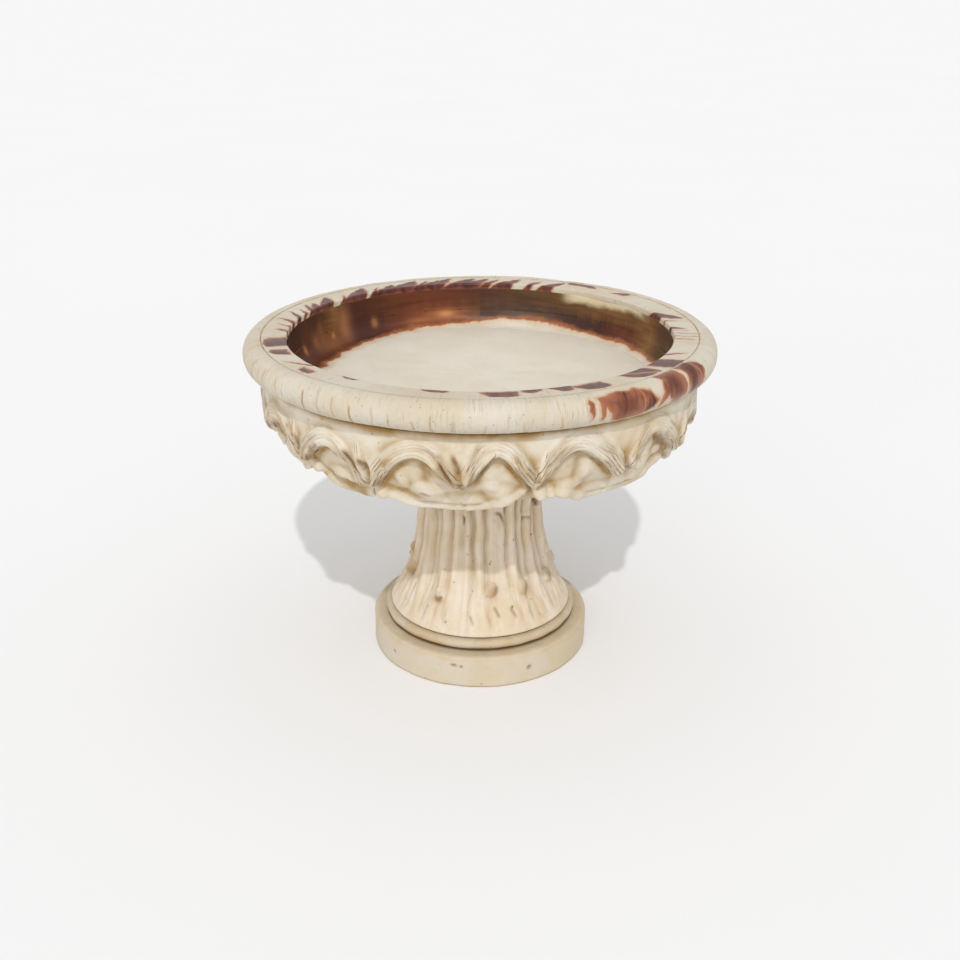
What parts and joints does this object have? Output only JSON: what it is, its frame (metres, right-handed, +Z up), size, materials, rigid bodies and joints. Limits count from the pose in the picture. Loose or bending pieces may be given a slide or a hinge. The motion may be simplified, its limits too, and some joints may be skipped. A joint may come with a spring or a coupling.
{
  "type": "bird bath",
  "caption": "Free-standing cast-stone bird bath: carved bowl with a rounded rim and glazed shallow basin, lifting off a fluted flared pedestal on a round plinth.",
  "frame": {"origin": "on the ground, under the centre of the plinth", "axes": "+Z up the axis of the bowl and pedestal; -Y is the side seen from the front; +X to the right of that view"},
  "size_m": [0.6, 0.6, 0.4445],
  "materials": {
    "cast_stone": "matte",
    "carved_stone": "matte",
    "rim_glaze": "satin",
    "basin_glaze": "gloss",
    "basin_floor": "matte",
    "mortar": "matte",
    "rubber_seat": "matte",
    "steel": "satin"
  },
  "bodies": {
    "base": {"plinth": "cast_stone", "plinth_bed": "mortar", "base_ring": "cast_stone", "pedestal_bed": "mortar", "pedestal": "cast_stone", "tie_rod": "steel", "lower_washer": "steel", "lower_nut": "steel", "upper_washer": "steel", "centring_spigot": "steel", "seat_gasket": "rubber_seat"},
    "bowl": {"bowl_shell": "carved_stone", "socket_cup": "steel", "floor_bed": "mortar", "basin_floor": "basin_floor", "basin_wall": "basin_glaze", "corner_seal": "basin_floor", "rim_bed": "mortar", "rim_roll": "rim_glaze", "rim_dowels": "steel", "inlay_joint": "mortar", "rim_inlay": "rim_glaze"}
  },
  "joints": [
    {"name": "bowl_lift", "type": "slide", "parent": "base", "child": "bowl", "axis": [0, 0, 1], "range_m": [0, 0.15]}
  ]
}
